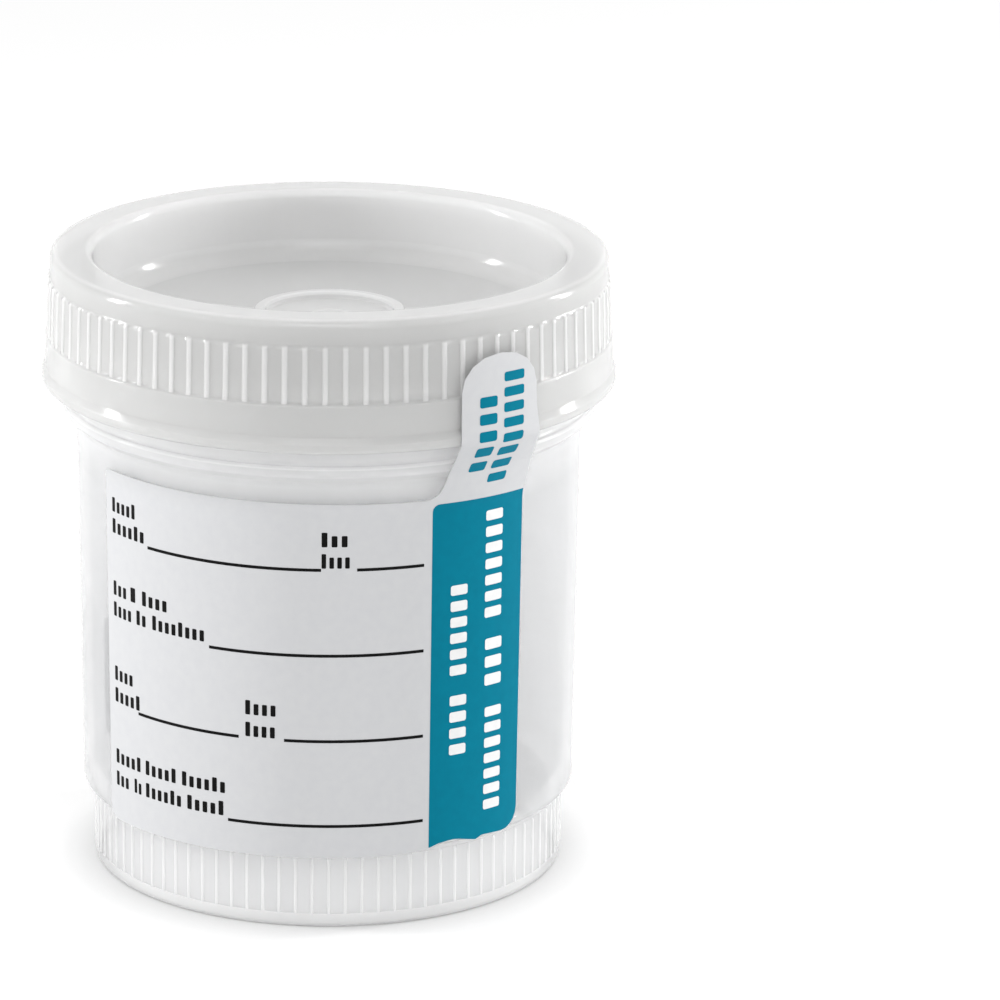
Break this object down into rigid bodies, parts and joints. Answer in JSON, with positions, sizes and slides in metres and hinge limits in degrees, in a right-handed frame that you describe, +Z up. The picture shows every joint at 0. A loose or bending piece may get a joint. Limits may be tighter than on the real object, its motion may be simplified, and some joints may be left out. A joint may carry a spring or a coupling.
{
  "type": "specimen container",
  "caption": "Round screw-cap specimen container: translucent cup on a fluted hollow base, fluted white cap with a sunk top, wrap-round label with a seal tab, and a temperature strip.",
  "frame": {"origin": "middle of the foot, on the surface the container stands on", "axes": "+Z up along the container's axis; -Y towards the middle of the label"},
  "size_m": [0.066, 0.066, 0.0727],
  "materials": {
    "translucent_plastic": "satin, milky, lets light through",
    "white_plastic": "smooth gloss",
    "label_stock": "satin coated paper",
    "strip_stock": "satin film with a black band"
  },
  "bodies": {
    "cup": {"cup": "translucent_plastic", "label": "label_stock", "temperature_strip": "strip_stock"},
    "cap": {"cap": "white_plastic"}
  },
  "joints": [
    {"name": "cap_lift", "type": "slide", "parent": "cup", "child": "cap", "axis": [0, 0, 1], "range_m": [0, 0.03]}
  ]
}
